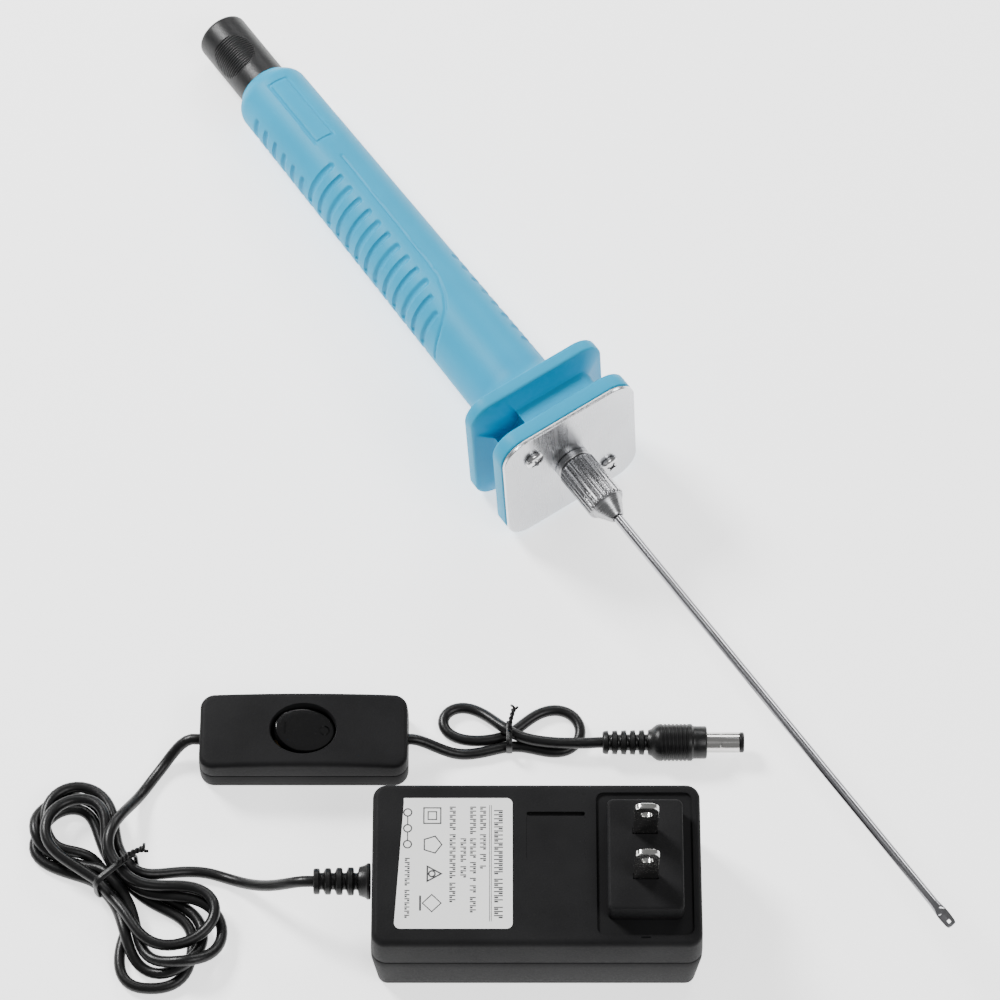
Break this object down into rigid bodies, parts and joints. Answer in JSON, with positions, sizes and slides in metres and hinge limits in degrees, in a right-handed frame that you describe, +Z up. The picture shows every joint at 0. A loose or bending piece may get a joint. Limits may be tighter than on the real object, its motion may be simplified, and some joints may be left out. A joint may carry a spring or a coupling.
{
  "type": "hot wire cutter",
  "caption": "Heated needle pen with a square double guard and a knurled chuck, and its plug-in adapter with an inline rocker switch, unplugged.",
  "frame": {"origin": "centre of the adapter's flat base, on the table", "axes": "+X along the adapter towards its blades, -Y towards the user, +Z up from the table"},
  "size_m": [0.2419, 0.3004, 0.0523],
  "materials": {
    "handle_plastic": "satin moulded cyan",
    "sleeve_plastic": "satin moulded black",
    "white_plastic": "matt white",
    "nickel": "bright nickel plate",
    "red_wire": "wire insulation",
    "black_wire": "wire insulation",
    "plate_steel": "bright zinc plate",
    "screw_steel": "bright zinc plate",
    "nut_steel": "machined steel",
    "needle_steel": "polished stainless tube",
    "ceramic": "matt ceramic",
    "brass": "plain brass",
    "adapter_plastic": "fine textured black",
    "label_paper": "printed paper label",
    "cord_vinyl": "soft satin vinyl",
    "circuit_board": "solder mask",
    "winding_tape": "polyester tape",
    "capacitor_sleeve": "shrink sleeve",
    "switch_plastic": "fine textured black",
    "rocker_plastic": "glossy black",
    "tie_wire": "flat plastic-coated wire"
  },
  "bodies": {
    "power_supply": {"adapter_top_shell": "adapter_plastic", "adapter_bottom_shell": "adapter_plastic", "adapter_plug_block": "adapter_plastic", "adapter_blade_front": "nickel", "adapter_blade_rear": "nickel", "adapter_label": "label_paper", "adapter_strain_relief": "cord_vinyl", "circuit_board": "circuit_board", "transformer": "winding_tape", "bulk_capacitor": "capacitor_sleeve", "output_capacitor": "capacitor_sleeve", "switch_top_shell": "switch_plastic", "switch_bottom_shell": "switch_plastic", "switch_screw_left": "screw_steel", "switch_screw_right": "screw_steel", "switch_contact_in": "brass", "switch_contact_out": "brass", "dc_plug_body": "cord_vinyl", "dc_plug_barrel": "nickel", "dc_plug_tip": "sleeve_plastic", "dc_plug_contact": "brass", "cord_adapter_to_hank": "cord_vinyl", "cord_hank_to_switch": "cord_vinyl", "cord_switch_to_loop": "cord_vinyl", "cord_loop_to_plug": "cord_vinyl", "cord_hank": "cord_vinyl", "hank_tie": "tie_wire", "cord_loop": "cord_vinyl", "loop_tie": "tie_wire"},
    "pen": {"handle": "handle_plastic", "dc_jack_sleeve": "sleeve_plastic", "jack_insulator": "white_plastic", "jack_centre_pin": "nickel", "jack_side_contact": "nickel", "pen_wire_positive": "red_wire", "pen_wire_negative": "black_wire", "insulating_sheet": "white_plastic", "guard_plate": "plate_steel", "plate_screw_near": "screw_steel", "plate_screw_far": "screw_steel", "chuck_post": "nut_steel", "insulating_bush": "ceramic", "lock_ring": "nut_steel"},
    "collet": {"collet": "brass"},
    "nut": {"knurled_nut": "nut_steel"},
    "needle": {"needle_tube": "needle_steel", "heater_core": "ceramic"},
    "rocker": {"switch_rocker": "rocker_plastic"}
  },
  "joints": [
    {"name": "pen_lift", "type": "slide", "parent": "power_supply", "child": "pen", "axis": [0, 0, 1], "range_m": [0, 0.15]},
    {"name": "nut_travel", "type": "slide", "parent": "pen", "child": "collet", "axis": [0.5574, -0.8264, 0.0791], "range_m": [0, 0.0045]},
    {"name": "nut_turn", "type": "hinge", "parent": "collet", "child": "nut", "pos_m": [0.01491, 0.11504, 0.02343], "axis": [0.5574, -0.8264, 0.0791], "range_deg": [0, 2160]},
    {"name": "needle_pull", "type": "slide", "parent": "pen", "child": "needle", "axis": [0.5574, -0.8264, 0.0791], "range_m": [0, 0.03]},
    {"name": "rocker_tilt", "type": "hinge", "parent": "power_supply", "child": "rocker", "pos_m": [-0.062, 0.046, 0.011], "axis": [0, -1, 0], "range_deg": [0, 22]}
  ],
  "couplings": [
    {"joint": "nut_turn", "follows": "nut_travel", "rad_per_m": 8377.6}
  ]
}
